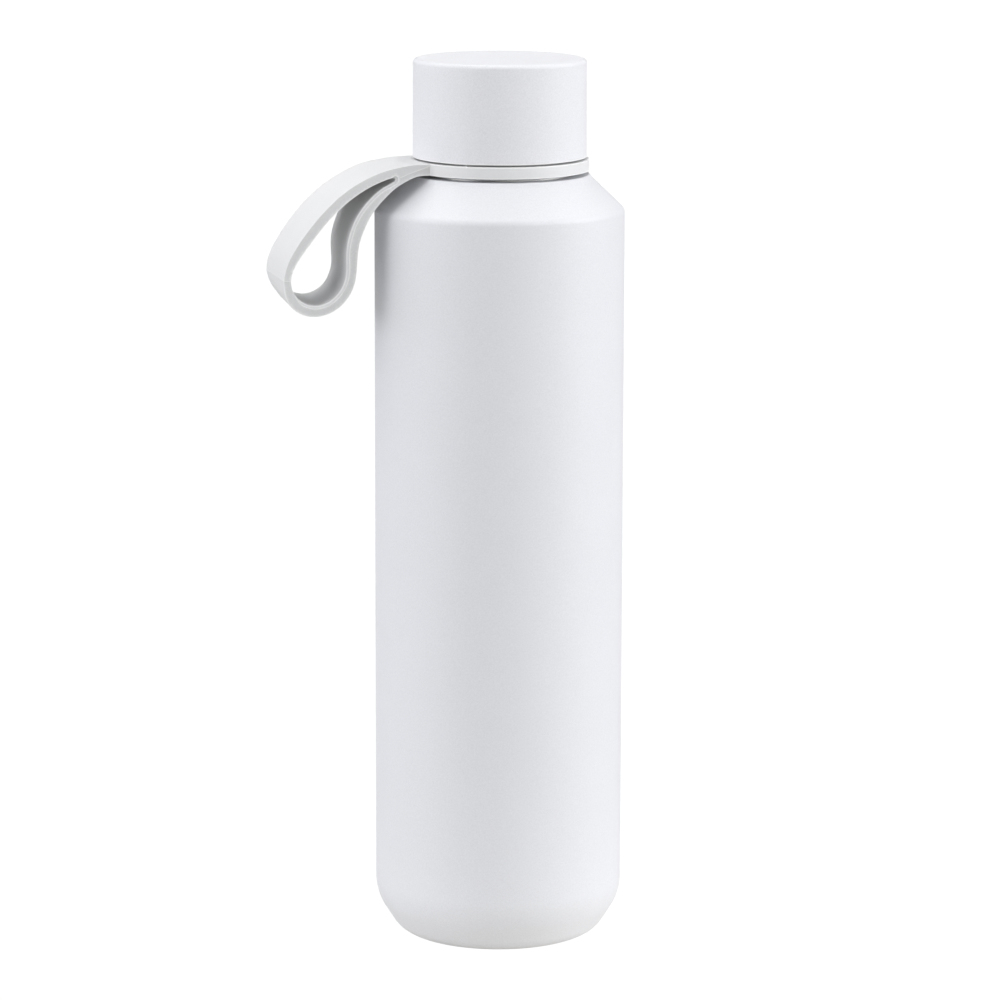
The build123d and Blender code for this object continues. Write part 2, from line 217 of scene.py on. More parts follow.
def disc_steel(name, tint, rough):
    """Steel sheet with a fine circular brush round the bottle's axis."""
    m, nt, b = new_material(name)
    co = object_coords(nt)
    sep = nt.nodes.new("ShaderNodeSeparateXYZ")
    nt.links.new(co, sep.inputs[0])
    flat = nt.nodes.new("ShaderNodeCombineXYZ")
    nt.links.new(sep.outputs["X"], flat.inputs["X"])
    nt.links.new(sep.outputs["Y"], flat.inputs["Y"])
    ln = nt.nodes.new("ShaderNodeVectorMath")
    ln.operation = "LENGTH"
    nt.links.new(flat.outputs[0], ln.inputs[0])
    line = nt.nodes.new("ShaderNodeCombineXYZ")
    nt.links.new(ln.outputs["Value"], line.inputs["X"])
    marks = noise(nt, line.outputs[0], 9000.0, 3.0, 0.7)
    stain = noise(nt, co, 60.0, 3.0, 0.6)
    lo = tuple(c * 0.97 for c in tint)
    hi = tuple(min(1.0, c * 1.03) for c in tint)
    nt.links.new(ramp(nt, stain, 0.3, lo, 0.7, hi), b.inputs["Base Color"])
    nt.links.new(remap(nt, marks, rough - 0.06, rough + 0.08), b.inputs["Roughness"])
    nt.links.new(bump(nt, marks, 0.35, 0.00001), b.inputs["Normal"])
    b.inputs["Metallic"].default_value = 1.0
    return m


def moulded_plastic(name, tint):
    m, nt, b = new_material(name)
    co = object_coords(nt)
    cloud = noise(nt, co, 70.0, 2.0, 0.5)
    lo = tuple(c * 0.985 for c in tint)
    nt.links.new(ramp(nt, cloud, 0.35, lo, 0.65, tint), b.inputs["Base Color"])
    spark = noise(nt, co, 1800.0, 3.0, 0.6)
    nt.links.new(remap(nt, spark, 0.42, 0.54), b.inputs["Roughness"])
    nt.links.new(bump(nt, spark, 0.3, 0.00002), b.inputs["Normal"])
    b.inputs["Subsurface Weight"].default_value = 0.1
    b.inputs["Subsurface Radius"].default_value = (0.001, 0.001, 0.001)
    b.inputs["Subsurface Scale"].default_value = 1.0
    return m


def foam_material(name, tint):
    m, nt, b = new_material(name)
    co = object_coords(nt)
    vo = nt.nodes.new("ShaderNodeTexVoronoi")
    vo.inputs["Scale"].default_value = 1400.0
    nt.links.new(co, vo.inputs["Vector"])
    lo = tuple(c * 0.88 for c in tint)
    nt.links.new(ramp(nt, vo.outputs["Distance"], 0.0, lo, 0.6, tint), b.inputs["Base Color"])
    nt.links.new(bump(nt, vo.outputs["Distance"], 0.6, 0.0001), b.inputs["Normal"])
    b.inputs["Roughness"].default_value = 0.9
    return m


def foil_material(name, tint):
    m, nt, b = new_material(name)
    co = object_coords(nt)
    wrinkle = noise(nt, co, 160.0, 4.0, 0.6)
    tarnish = noise(nt, co, 40.0, 3.0, 0.6)
    lo = tuple(c * 0.9 for c in tint)
    nt.links.new(ramp(nt, tarnish, 0.3, lo, 0.7, tint), b.inputs["Base Color"])
    nt.links.new(remap(nt, wrinkle, 0.18, 0.32), b.inputs["Roughness"])
    nt.links.new(bump(nt, wrinkle, 0.5, 0.0001), b.inputs["Normal"])
    b.inputs["Metallic"].default_value = 1.0
    return m


MAT_COAT = powder_coat("powder_coat", (0.800, 0.808, 0.838), 0.004, 0.90, 0.027)
MAT_CAP = powder_coat("powder_coat_cap", (0.824, 0.829, 0.855), 0.004, 0.40, 0.034)
MAT_STRAP = silicone("silicone", (0.727, 0.732, 0.733), 0.004)
MAT_SEAL = silicone("seal_silicone", (0.86, 0.86, 0.84), 0.006, (0.38, 0.5))
MAT_STEEL = steel("bare_steel", (0.66, 0.65, 0.63), 0.30)
MAT_SATIN = steel("satin_steel", (0.62, 0.61, 0.60), 0.40, turned=False)
MAT_DISC = disc_steel("brushed_disc", (0.63, 0.625, 0.61), 0.34)
MAT_PP = moulded_plastic("liner_plastic", (0.84, 0.84, 0.825))
MAT_FOAM = foam_material("foam", (0.92, 0.91, 0.87))
MAT_COPPER = foil_material("copper", (0.86, 0.48, 0.34))
MAT_GETTER = steel("getter_metal", (0.42, 0.41, 0.40), 0.45, turned=False)


# ---------------------------------------------------------------------------
# Mesh helpers
# ---------------------------------------------------------------------------
def make_object(name, verts, faces, material, sharp_deg=38.0):
    me = bpy.data.meshes.new(name)
    me.from_pydata([tuple(v) for v in verts], [], faces)
    me.validate()
    o = bpy.data.objects.new(name, me)
    bpy.context.scene.collection.objects.link(o)
    me.materials.append(material)
    finish_shading(o, sharp_deg)
    return o


def finish_shading(o, sharp_deg=38.0):
    import bmesh
    bm = bmesh.new()
    bm.from_mesh(o.data)
    bmesh.ops.recalc_face_normals(bm, faces=bm.faces)
    bm.to_mesh(o.data)
    bm.free()
    o.data.shade_smooth()
    o.data.set_sharp_from_angle(angle=math.radians(sharp_deg))
    o.data.update()


def path(chain, closed=False, step_deg=7.5, support=0.25, run=12.0, min_seg=4):
    """Points along a chain of (r, z, corner radius), corners rounded and runs divided."""
    n = len(chain)
    pts = [(c[0], c[1], c[2] if len(c) > 2 else 0.0) for c in chain]
    pieces = []
    for i in range(n):
        px, py, rad = pts[i]
        if (not closed and i in (0, n - 1)) or rad <= 0:
            pieces.append([(px, py)])
            continue
        ax, ay = pts[i - 1][0] - px, pts[i - 1][1] - py
        bx, by = pts[(i + 1) % n][0] - px, pts[(i + 1) % n][1] - py
        la, lb = math.hypot(ax, ay), math.hypot(bx, by)
        ax, ay, bx, by = ax / la, ay / la, bx / lb, by / lb
        half = math.acos(max(-1.0, min(1.0, ax * bx + ay * by))) / 2
        d = rad / math.tan(half)
        cx, cy = ax + bx, ay + by
        lc = math.hypot(cx, cy)
        k = rad / math.sin(half)
        ox, oy = px + cx / lc * k, py + cy / lc * k
        a0 = math.atan2(py + ay * d - oy, px + ax * d - ox)
        a1 = math.atan2(py + by * d - oy, px + bx * d - ox)
        da = (a1 - a0 + math.pi) % (2 * math.pi) - math.pi
        segs = max(min_seg, int(math.ceil(abs(math.degrees(da)) / step_deg)))
        pieces.append([(ox + rad * math.cos(a0 + da * j / segs),
                        oy + rad * math.sin(a0 + da * j / segs)) for j in range(segs + 1)])
    out = []
    for i in range(n):
        out.extend(pieces[i])
        if not closed and i == n - 1:
            break
        x0, y0 = pieces[i][-1]
        x1, y1 = pieces[(i + 1) % n][0]
        length = math.hypot(x1 - x0, y1 - y0)
        cuts = []
        if length > 4 * support:
            cuts = [support, length - support]
            inner = length - 2 * support
            m = int(inner // run)
            cuts = [support] + [support + inner * (j + 1) / (m + 1) for j in range(m)] + [length - support]
        for c in cuts:
            out.append((x0 + (x1 - x0) * c / length, y0 + (y1 - y0) * c / length))
    clean = [out[0]]
    for p in out[1:]:
        if math.hypot(p[0] - clean[-1][0], p[1] - clean[-1][1]) > 1e-4:
            clean.append(p)
    if closed and math.hypot(clean[0][0] - clean[-1][0], clean[0][1] - clean[-1][1]) < 1e-4:
        clean.pop()
    return clean


def offset(chain, t):
    """A chain moved t to its left, its rounded corners kept concentric."""
    pts = [(c[0], c[1], c[2] if len(c) > 2 else 0.0) for c in chain]
    lines = []
    for (x0, y0, _), (x1, y1, _) in zip(pts, pts[1:]):
        length = math.hypot(x1 - x0, y1 - y0)
        dx, dy = (x1 - x0) / length, (y1 - y0) / length
        lines.append((x0 - dy * t, y0 + dx * t, dx, dy))
    out = [(lines[0][0], lines[0][1], 0.0)]
    for i in range(1, len(lines)):
        ax, ay, adx, ady = lines[i - 1]
        bx, by, bdx, bdy = lines[i]
        turn = adx * bdy - ady * bdx
        s = ((bx - ax) * bdy - (by - ay) * bdx) / turn
        rad = pts[i][2]
        if rad:
            rad = max(rad - t if turn > 0 else rad + t, 0.05)
        out.append((ax + adx * s, ay + ady * s, rad))
    (x0, y0, _), (x1, y1, _) = pts[-2], pts[-1]
    length = math.hypot(x1 - x0, y1 - y0)
    dx, dy = (x1 - x0) / length, (y1 - y0) / length
    out.append((x1 - dy * t, y1 + dx * t, 0.0))
    return out


def lathe_data(profile, segments, closed=True):
    """Vertices (metres) and faces of a profile in millimetres turned about Z."""
    verts, faces, rows = [], [], []
    for r, z in profile:
        if r < 1e-6:
            rows.append([len(verts)])
            verts.append((0.0, 0.0, z * MM))
        else:
            start = len(verts)
            for k in range(segments):
                a = 2 * math.pi * k / segments
                verts.append((r * MM * math.cos(a), r * MM * math.sin(a), z * MM))
            rows.append(list(range(start, start + segments)))
    pairs = list(zip(rows, rows[1:]))
    if closed:
        pairs.append((rows[-1], rows[0]))
    for lo, hi in pairs:
        if len(lo) == 1 and len(hi) == 1:
            continue
        for k in range(segments):
            j = (k + 1) % segments
            if len(lo) == 1:
                faces.append((lo[0], hi[j], hi[k]))
            elif len(hi) == 1:
                faces.append((lo[k], lo[j], hi[0]))
            else:
                faces.append((lo[k], lo[j], hi[j], hi[k]))
    return verts, faces


def lathe(name, profile, material, segments=256, closed=True, sharp_deg=38.0):
    v, f = lathe_data(profile, segments, closed)
    return make_object(name, v, f, material, sharp_deg)


def sheet_profile(chain, t, **kw):
    """Closed profile of a sheet of thickness t to the left of a chain."""
    a = path(chain, **kw)
    b = path(offset(chain, t), **kw)
    return a + b[::-1]


# ---------------------------------------------------------------------------
# Body: one drawn steel shell, coated
# ---------------------------------------------------------------------------
R_BODY, T = 34.0, 0.5
body_chain = [
    (20.62, 0.0), (27.0, 0.0, 7.5), (R_BODY, 10.9, 15.0), (R_BODY, 201.72, 2.3),
    (25.2, 210.10, 4.0),
    (24.30, 211.22, 0.22), (20.55, 211.22)]
body = lathe("body_coat", sheet_profile(body_chain, T, step_deg=4.0, support=0.4, run=9.0, min_seg=8),
             MAT_COAT, 320)
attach(body, "bottle")
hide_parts("outer_shell")

# Cap: deep-drawn shell, its cut rim turned out by a hair and softly broken
CAP_Z0 = 215.9
cap_chain = [(23.6, CAP_Z0), (23.53, 242.5, 1.3), (0.0, 242.5)]
outer = path(cap_chain, step_deg=5.0, support=0.4, run=4.0, min_seg=8)
inner = path(offset(cap_chain, T), step_deg=9.0, support=0.4, run=4.0)
lip = [(23.165 + 0.0, CAP_Z0 + 0.12)] + [
    (23.40 + 0.235 * math.cos(a), CAP_Z0 + 0.12 + 0.12 * math.sin(a))
    for a in [-math.pi * (1 - k / 8) for k in range(1, 9)]] + [(23.605, CAP_Z0 + 0.42)]
outer = [p for p in outer if p[1] > CAP_Z0 + 0.6]
inner = [p for p in inner if p[1] > CAP_Z0 + 0.3]
inner[-1] = (0.0, inner[-1][1])
cap_profile = inner[::-1] + lip + outer
cap = lathe("cap_coat", cap_profile, MAT_CAP, 256, closed=False)


def cap_painted_light(x, y, z):
    """Painted highlight on the cut rim's lower edge, and painted light: the flat top a touch paler."""
    if z > 242.49:
        return 0.12
    return max(0.0, 1 - abs(z - CAP_Z0 - 0.12) / 0.16) if math.hypot(x, y) > 23.45 else 0.0


mark_edges(cap, cap_painted_light)


def rim_painted_shade(x, y, z):
    """Painted shade round the cap's top edge, most where the rounding faces 60 degrees up."""
    u, w = math.hypot(x, y) - 22.23, z - 241.2
    if u < -0.01 or w < -0.01 or math.hypot(u, w) < 1.1:
        return 0.3
    up = math.degrees(math.atan2(max(w, 0.0), max(u, 1e-6)))
    return 0.3 + 0.4 * max(0.0, 1 - abs(up - 60) / 32)


mark_edges(cap, rim_painted_shade, "painted_shade")
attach(cap, "cap")
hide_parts("cap_shell")


# ---------------------------------------------------------------------------
# Silicone collar and loop
# ---------------------------------------------------------------------------
# Side outlines of the band, as (distance from the axis, z). It hangs with a
# slight twist, so its near (-Y) and far (+Y) edges have an outline each.
LOOP_NEAR = [
    (19.00, 215.33), (20.40, 215.33), (21.94, 215.33), (26.40, 215.25), (30.79, 214.61), (35.06, 213.51),
    (39.05, 211.82), (42.80, 209.76), (46.31, 207.24), (49.61, 204.22), (52.74, 200.86), (55.64, 197.29),
    (58.08, 193.82), (59.98, 190.50), (61.11, 187.28), (61.51, 184.10), (61.20, 181.01), (60.01, 178.41),
    (57.97, 176.54), (55.47, 175.39), (52.79, 175.08), (49.92, 175.59), (47.09, 177.00), (44.69, 179.21),
    (42.97, 181.94), (42.00, 185.08), (41.58, 189.09), (41.11, 193.50), (40.07, 197.01), (38.57, 200.39),
    (36.52, 203.66), (33.81, 206.68), (30.79, 209.35), (27.77, 211.04), (24.87, 212.06), (21.72, 212.27),
    (19.00, 212.27),
]
LOOP_FAR = [
    (19.00, 215.33), (20.40, 215.33), (21.95, 215.33), (26.36, 215.09), (30.76, 214.55), (35.12, 213.74),
    (39.22, 212.23), (43.07, 210.23), (46.76, 207.80), (50.24, 204.91), (53.49, 201.56), (56.38, 197.90),
    (58.82, 194.31), (60.78, 190.87), (61.99, 187.47), (62.09, 184.12), (61.02, 181.12), (59.43, 178.80),
    (57.73, 176.81), (55.12, 175.48), (52.35, 175.12), (49.53, 175.69), (46.76, 177.14), (44.35, 179.32),
    (42.61, 181.97), (41.61, 185.08), (41.13, 189.09), (40.94, 193.52), (40.32, 197.11), (38.84, 200.51),
    (36.68, 203.77), (33.95, 206.82), (30.91, 209.50), (27.92, 211.36), (24.93, 212.31), (21.72, 212.27),
    (19.00, 212.27),
]
HOLE_NEAR = [
    (32.44, 211.80), (35.54, 210.70), (38.76, 209.16), (42.00, 207.15), (45.16, 204.77), (48.02, 202.10),
    (50.59, 199.25), (53.04, 196.25), (55.46, 193.06), (57.64, 189.93), (59.04, 187.13), (59.51, 184.80),
    (59.24, 182.75), (58.25, 180.81), (56.78, 179.32), (54.96, 178.35), (52.78, 177.99), (50.43, 178.43),
    (48.26, 179.63), (46.49, 181.43), (45.19, 183.73), (44.53, 186.25), (44.46, 189.59), (44.34, 192.98),
    (43.70, 196.30), (42.52, 199.68), (40.89, 202.67), (38.99, 205.18), (36.91, 207.33), (34.57, 209.17),
    (32.35, 210.33), (31.80, 210.61), (31.36, 210.84), (31.10, 211.12), (31.00, 211.45), (31.08, 211.75),
    (31.36, 211.92), (31.88, 211.92),
]
HOLE_FAR = [
    (32.60, 212.35), (35.98, 211.79), (39.34, 210.25), (42.71, 208.23), (46.05, 205.87), (49.12, 203.26),
    (51.84, 200.41), (54.18, 197.21), (56.37, 193.69), (58.39, 190.32), (59.80, 187.33), (60.19, 184.83),
    (59.52, 182.71), (58.11, 180.88), (56.62, 179.45), (54.64, 178.56), (52.34, 178.13), (50.07, 178.53),
    (47.93, 179.62), (46.18, 181.39), (44.97, 183.79), (44.40, 186.29), (44.45, 189.60), (44.49, 193.01),
    (43.89, 196.35), (42.72, 199.77), (41.25, 202.92), (39.36, 205.50), (36.87, 207.35), (34.51, 209.14),
    (32.35, 210.36), (31.83, 210.71), (31.42, 211.03), (31.19, 211.42), (31.13, 211.88), (31.24, 212.31),
    (31.54, 212.54), (32.06, 212.54),
]
HALF = 12.2
PARTING = 184.93        # mould parting line across the loop's tip
BEV = 8


def smoothstep(x):
    x = np.clip(x, 0.0, 1.0)
    return x * x * (3 - 2 * x)


def spline(points, closed, dense=60):
    """Dense points on an interpolating cubic spline."""
    p = np.array(points, float)
    if closed:
        p = np.vstack([p, p[:1]])
    t = np.concatenate([[0], np.cumsum(np.hypot(*(p[1:] - p[:-1]).T) ** 0.75)])
    n = len(p)
    h = np.diff(t)
    a = np.zeros((n, n))
    rhs = np.zeros((n, 2))
    for i in range(1, n - 1):
        a[i, i - 1], a[i, i], a[i, i + 1] = h[i - 1], 2 * (h[i - 1] + h[i]), h[i]
        rhs[i] = 6 * ((p[i + 1] - p[i]) / h[i] - (p[i] - p[i - 1]) / h[i - 1])
    if closed:
        a[0, 0], a[0, 1], a[0, n - 2] = 2 * (h[-1] + h[0]), h[0], h[-1]
        rhs[0] = 6 * ((p[1] - p[0]) / h[0] - (p[0] - p[n - 2]) / h[-1])
        a[n - 1, 0], a[n - 1, n - 1] = 1.0, -1.0
    else:
        a[0, 0] = a[n - 1, n - 1] = 1.0
    m = np.linalg.solve(a, rhs)
    out = []
    for i in range(n - 1):
        for k in range(dense):
            u = k / dense * h[i]
            v = h[i] - u
            out.append(m[i] * v ** 3 / (6 * h[i]) + m[i + 1] * u ** 3 / (6 * h[i])
                       + (p[i] / h[i] - m[i] * h[i] / 6) * v + (p[i + 1] / h[i] - m[i + 1] * h[i] / 6) * u)
    out.append(p[-1])
    return np.array(out)


def stations(mid, step, closed, finer):
    """Fractional indices along a dense curve, a step apart where finer() is 1."""
    seg = np.hypot(*(mid[1:] - mid[:-1]).T)
    dens = np.array([finer(q) for q in (mid[1:] + mid[:-1]) / 2])
    s = np.concatenate([[0], np.cumsum(seg * dens)])
    n = int(round(s[-1] / step))
    u = np.interp(np.linspace(0, s[-1], n + 1), s, np.arange(len(mid)))
    return u[:-1] if closed else u


def pick(curve, u):
    k = np.arange(len(curve))
    return np.stack([np.interp(u, k, curve[:, 0]), np.interp(u, k, curve[:, 1])], 1)


def normals(p, closed, hole):
    """Unit normals of an outline that point into the rubber."""
    d = np.roll(p, -1, 0) - np.roll(p, 1, 0) if closed else np.gradient(p, axis=0)
    d = d / np.hypot(d[:, 0], d[:, 1])[:, None]
    n = np.stack([-d[:, 1], d[:, 0]], 1)
    q = np.roll(p, -1, 0)
    area = (p[:, 0] * q[:, 1] - q[:, 0] * p[:, 1]).sum() / 2
    return n * (1 if area > 0 else -1) * (-1 if hole else 1)


def crease(z):
    """The rubber swells a little towards the parting line, and carries a flash there."""
    d = z - PARTING
    swell = np.where(d > 0, np.exp(-np.abs(d) / 1.5), np.exp(-np.abs(d) / 0.9))
    return 0.10 * swell + 0.06 * np.clip(1 - np.abs(d) / 0.11, 0, 1)


def half_width(a):
    """The tongue is a little narrower at the collar, with a crease in the corner."""
    return HALF - 0.85 * (1 - smoothstep((a - 21.4) / 9.0)) - 0.22 * (1 - smoothstep((a - 21.35) / 0.55))


def sag(y, r=23.6):
    return r - math.sqrt(r * r - y * y)


SEAM = [(31.2, 211.50), (29.0, 212.33), (26.5, 213.22), (24.2, 213.98), (22.3, 214.62), (20.2, 215.1)]


def seam_height(a, z):
    """Mould seam on the tongue's side face: a fine line and a slight step under it."""
    zs = np.interp(a, [p[0] for p in SEAM[::-1]], [p[1] for p in SEAM[::-1]])
    d = z - zs
    fade = smoothstep((31.0 - a) / 1.5)
    return fade * (0.07 * math.exp(-(d / 0.11) ** 2) - 0.05 * (1 - float(smoothstep((d + 0.20) / 0.20))))


def soft(aa, bb):
    """Rounded edge: (distance in from the outline, distance in from the face)."""
    return [(aa * (1 - math.cos(k / BEV * math.pi / 2)), bb * (1 - math.sin(k / BEV * math.pi / 2)))
            for k in range(BEV + 1)]


CHAMFER = [(0.0, 0.74), (0.02, 0.67), (0.07, 0.60), (0.36, 0.31), (0.62, 0.06), (0.68, 0.01),
           (0.745, -0.035), (0.81, -0.03), (0.87, 0.0)]


# painted highlight on the edge's rows, from the wall (first) to the side face (last)
HIGHLIGHT_TOP = [0.0, 0.2, 0.5, 0.5, 0.3, 0.1, 0.0, 0.0, 0.0]
HIGHLIGHT_UNDER = [0.0, 0.0, 0.1, 0.4, 0.8, 1.0, 1.0, 1.0, 0.5]
FACE_PAINTED_LIGHT = 0.20          # painted light: the band's outer face is painted a shade paler than its sides
HIGHLIGHT_CHAMFER = [0.0, 0.7, 0.9, 0.0, 0.0, 0.5, 1.0, 1.0, 0.3]


def blend_rows(a, b, w):
    return [((1 - w) * p[0] + w * q[0], (1 - w) * p[1] + w * q[1]) for p, q in zip(a, b)]


def build_loop():
    dn, df = spline(LOOP_NEAR, False), spline(LOOP_FAR, False)
    u = stations((dn + df) / 2, 0.45, False,
                 lambda q: 1 + (7 * math.exp(-((q[1] - PARTING) / 0.35) ** 2) if q[0] > 57 else 0))
    on, of_ = pick(dn, u), pick(df, u)
    n_on, n_of = normals(on, False, False), normals(of_, False, False)
    for p, n in ((on, n_on), (of_, n_of)):
        tip = smoothstep((p[:, 0] - 57.0) / 2.0)
        p -= n * (crease(p[:, 1]) * tip)[:, None]

    hn, hf = spline(HOLE_NEAR, True), spline(HOLE_FAR, True)
    uh = stations((hn + hf) / 2, 0.42, True, lambda q: 1 + 4 * math.exp(-((q[0] - 30.8) / 1.0) ** 2))
    hn, hf = pick(hn, uh), pick(hf, uh)
    n_hn, n_hf = normals(hn, True, True), normals(hf, True, True)
    k = uh / 60.0
    # chamfered on the inner leg, the bulb's floor and the slot's tip; softly rounded elsewhere
    w_ch = smoothstep((k - 12.2) / 2.4) * (1 - smoothstep((k - 35.6) / 2.0))

    verts, faces = [], []
    painted_light = {}           # vertex -> how much painted highlight or painted light the rubber carries there

    def place(pn, pf, nn, nf, frac, d, inset, side):
        a_mid = (pn[0] + pf[0]) / 2
        hw = half_width(a_mid + 0.45 * (1 - float(smoothstep((a_mid - 24.0) / 10.0))))
        y = side * (hw - inset) if side else frac * hw
        t = (min(max(y / hw, -1.0), 1.0) + 1) / 2
        p = pn + (pf - pn) * t
        n = nn + (nf - nn) * t
        n = n / math.hypot(n[0], n[1])
        a, z = p + n * d
        a += 0.2 * (HALF - hw) * (y / hw)
        fade = 1 - float(smoothstep((a - 24.0) / 10.0))
        a += (sag(HALF) - sag(min(abs(y), HALF))) * fade
        return (-a * MM, y * MM, z * MM)

    SPAN = 14

    def wall(pn, pf, nn, nf, near_rows, far_rows, closed, chamfer_highlight, face_painted_light):
        """Rows across the band's width, from the near face to the far face."""
        rows = []
        n = len(pn)
        for r in range(BEV, -1, -1):
            rows.append([len(verts) + i for i in range(n)])
            for i in range(n):
                d, ins = near_rows[i][r]
                under = float(smoothstep(0.5 + 2.5 * nn[i][1]))
                # painted highlight on the edge rows, and painted light on the outer face
                plain = (1 - under) * HIGHLIGHT_TOP[r] + under * HIGHLIGHT_UNDER[r]
                plain = max(plain, face_painted_light[i] * (1 - r / BEV))
                painted_light[len(verts)] = (1 - chamfer_highlight[i]) * plain + chamfer_highlight[i] * HIGHLIGHT_CHAMFER[r]
                verts.append(place(pn[i], pf[i], nn[i], nf[i], 0, d, ins, -1))
        for j in range(1, SPAN):
            f = (-1 + 2 * j / SPAN) * (1 - 0.9 / HALF)
            rows.append([len(verts) + i for i in range(n)])
            for i in range(n):
                painted_light[len(verts)] = face_painted_light[i]
                verts.append(place(pn[i], pf[i], nn[i], nf[i], f, 0, 0, 0))
        for r in range(0, BEV + 1):
            rows.append([len(verts) + i for i in range(n)])
            for i in range(n):
                d, ins = far_rows[i][r]
                painted_light[len(verts)] = face_painted_light[i] * (1 - r / BEV)
                verts.append(place(pn[i], pf[i], nn[i], nf[i], 0, d, ins, 1))
        for r0, r1 in zip(rows, rows[1:]):
            for i in range(n if closed else n - 1):
                j = (i + 1) % n
                faces.append((r0[i], r0[j], r1[j], r1[i]))
        return rows

    out_edge = soft(0.20, 0.18)
    hole_edge = soft(0.22, 0.20)
    far_edge = soft(0.42, 0.36)
    all_o = wall(on, of_, n_on, n_of, [out_edge] * len(on), [far_edge] * len(on), False,
                 np.zeros(len(on)), FACE_PAINTED_LIGHT * smoothstep((on[:, 0] - 23.2) / 3.0))
    near_h = [blend_rows(hole_edge, CHAMFER, w_ch[i]) for i in range(len(hn))]
    all_h = wall(hn, hf, n_hn, n_hf, near_h, [far_edge] * len(hn), True, w_ch,
                 np.zeros(len(hn)))

    def inside(poly, q):
        """Even-odd test of many points against one polygon."""
        q = np.atleast_2d(q)
        c = np.zeros(len(q), bool)
        a, b = poly, np.roll(poly, -1, 0)
        for (x0, y0), (x1, y1) in zip(a, b):
            if y0 == y1:
                continue
            hit = (y0 > q[:, 1]) != (y1 > q[:, 1])
            c ^= hit & (q[:, 0] < (x1 - x0) * (q[:, 1] - y0) / (y1 - y0) + x0)
        return c

    def fill(out_row, hole_row, side):
        """Side face between the two inset outlines, with interior points."""
        po = np.array([(verts[i][0] / MM, verts[i][2] / MM) for i in out_row])
        ph = np.array([(verts[i][0] / MM, verts[i][2] / MM) for i in hole_row])
        allb = np.vstack([po, ph])
        step = 0.62
        lo, hi = po.min(0), po.max(0)
        grid = []
        for r in range(int((hi[1] - lo[1]) / (step * 0.866)) + 1):
            xs = np.arange(lo[0] + (step / 2 if r % 2 else 0), hi[0], step)
            grid.append(np.stack([xs, np.full(len(xs), lo[1] + r * step * 0.866)], 1))
        grid = np.vstack(grid)
        lines = []
        if side < 0:
            # fine rows along the tongue's seam and across the parting line
            s = np.linspace(20.6, 31.0, 66)
            zs = np.interp(s, [p[0] for p in SEAM[::-1]], [p[1] for p in SEAM[::-1]])
            for dz in (-0.32, -0.20, -0.10, 0.0, 0.10, 0.22):
                lines.append(np.stack([-s, zs + dz], 1))
            s = np.linspace(59.2, 61.8, 14)
            for dz in (-0.14, 0.0, 0.14):
                lines.append(np.stack([-s, np.full(len(s), PARTING + dz)], 1))
        fixed = np.vstack(lines) if lines else np.zeros((0, 2))

        def clear(q, others, gap):
            out = np.ones(len(q), bool)
            for i0 in range(0, len(q), 500):
                d2 = ((q[i0:i0 + 500, None, :] - others[None]) ** 2).sum(2).min(1)
                out[i0:i0 + 500] = d2 > gap * gap
            return out
        if len(fixed):
            fixed = fixed[inside(po, fixed) & ~inside(ph, fixed)]
            fixed = fixed[clear(fixed, allb, 0.10)]
        grid = grid[inside(po, grid) & ~inside(ph, grid)]
        grid = grid[clear(grid, allb, 0.42 * step)]
        if len(fixed):
            grid = grid[clear(grid, fixed, 0.30)]
        pts = [Vector(p) for p in np.vstack([po, ph, fixed, grid])]
        no_, nh_ = len(po), len(ph)
        edges = [(i, (i + 1) % no_) for i in range(no_)] + [(no_ + i, no_ + (i + 1) % nh_) for i in range(nh_)]
        v2, e2, f2, ov, oe, ofc = geometry.delaunay_2d_cdt(pts, edges, [], 1, 1e-5)
        remap_ = []
        for q, src in zip(v2, ov):
            if len(src) and src[0] < no_:
                remap_.append(out_row[src[0]])
            elif len(src) and src[0] < no_ + nh_:
                remap_.append(hole_row[src[0] - no_])
            else:
                a = -q[0]
                y = half_width(a)
                if side < 0:
                    rise = seam_height(a, q[1])
                    y += rise
                    # painted highlight along the seam's fine line
                    painted_light[len(verts)] = 0.8 * max(0.0, rise) / 0.07
                    if a > 58:
                        # painted highlight along the parting flash
                        flash = max(0.0, 1 - abs(q[1] - PARTING) / 0.13)
                        y += 0.05 * flash
                        painted_light[len(verts)] = 0.9 * flash
                remap_.append(len(verts))
                verts.append((q[0] * MM, side * y * MM, q[1] * MM))
        cen = np.array([sum((np.array(v2[i]) for i in t), np.zeros(2)) / len(t) for t in f2])
        ok = inside(po, cen) & ~inside(ph, cen)
        for t, good in zip(f2, ok):
            if good:
                faces.append(tuple(remap_[i] for i in t))

    fill(all_o[0], all_h[0], -1)
    fill(all_o[-1], all_h[-1], 1)
    # close the root end, inside the collar
    for r0, r1 in zip(all_o, all_o[1:]):
        faces.append((r0[0], r1[0], r1[-1], r0[-1]))
    return verts, faces, painted_light


loop_v, loop_f, loop_painted_light = build_loop()
loop = make_object("strap_soft", loop_v, loop_f, MAT_STRAP, 50.0)

ring_chain = [
    (20.8, 211.65, 0.15), (21.6, 211.65, 0.2), (21.6, 212.25, 0.1),
    (24.3, 212.25, 0.07), (24.3, 212.50), (24.3, 212.62), (24.3, 215.41, 0.16), (20.8, 215.41, 0.2)]
ring = lathe("collar_ring", path(ring_chain, closed=True, step_deg=9.0, support=0.2, run=1.2), MAT_STRAP, 256)

# gate mark left by the mould: a small dome on top of the collar
nub = lathe("gate_mark", [(0.30, 215.10), (0.28, 215.45)]
            + [(0.26 * math.cos(k * math.pi / 12), 215.47 + 0.24 * math.sin(k * math.pi / 12)) for k in range(6)]
            + [(0.0, 215.71), (0.0, 215.10)], MAT_STRAP, 20, closed=False)
for v in nub.data.vertices:
    v.co.x += 23.55 * MM * math.cos(math.radians(-124.6))
    v.co.y += 23.55 * MM * math.sin(math.radians(-124.6))


